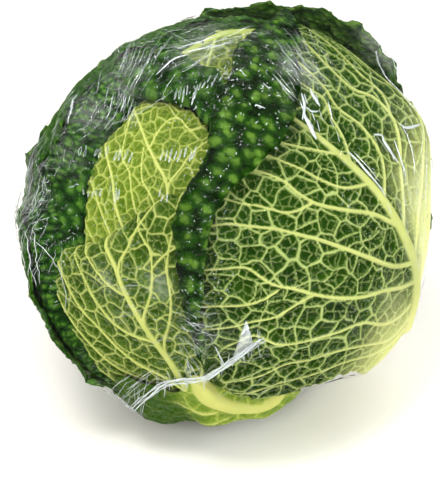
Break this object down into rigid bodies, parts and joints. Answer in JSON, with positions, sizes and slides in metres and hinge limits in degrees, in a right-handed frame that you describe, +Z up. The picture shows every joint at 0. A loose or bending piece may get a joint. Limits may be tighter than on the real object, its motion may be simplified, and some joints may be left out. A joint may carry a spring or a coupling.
{
  "type": "savoy cabbage",
  "caption": "Round savoy cabbage head with crinkled, net-veined leaves folded over a pale heart, a cut stem, and clear stretch film pulled tight over it.",
  "frame": {"origin": "on the surface it rests on, under the middle of the head's box, which is inside the flat spot that the head rests on", "axes": "+Z up. The head's tip leans up, to the left and to the front (-X, -Y), and the cut stem is low at the back right (+X, +Y, -Z). The front, seen in the picture, faces -Y"},
  "size_m": [0.1794, 0.1796, 0.173],
  "materials": {
    "heart": "matte pale yellow-green leaf",
    "pale_leaf": "satin yellow-green leaf with pale veins",
    "veined_leaf": "satin mid-green leaf back with raised pale yellow veins",
    "dark_leaf": "satin dark green blistered leaf",
    "stem": "matte cut stem",
    "film": "clear glossy stretch film"
  },
  "bodies": {
    "root": {"heart": "heart", "stem": "stem", "heart_leaf_left": "pale_leaf", "heart_leaf_front": "pale_leaf", "heart_leaf_top": "pale_leaf", "wrapper_leaf_rear": "dark_leaf", "wrapper_leaf_front": "veined_leaf", "wrapper_leaf_left": "dark_leaf", "wrapper_leaf_right": "veined_leaf", "wrapper_leaf_back": "dark_leaf", "wrapper_leaf_under": "veined_leaf", "film_wrap": "film"}
  },
  "joints": []
}
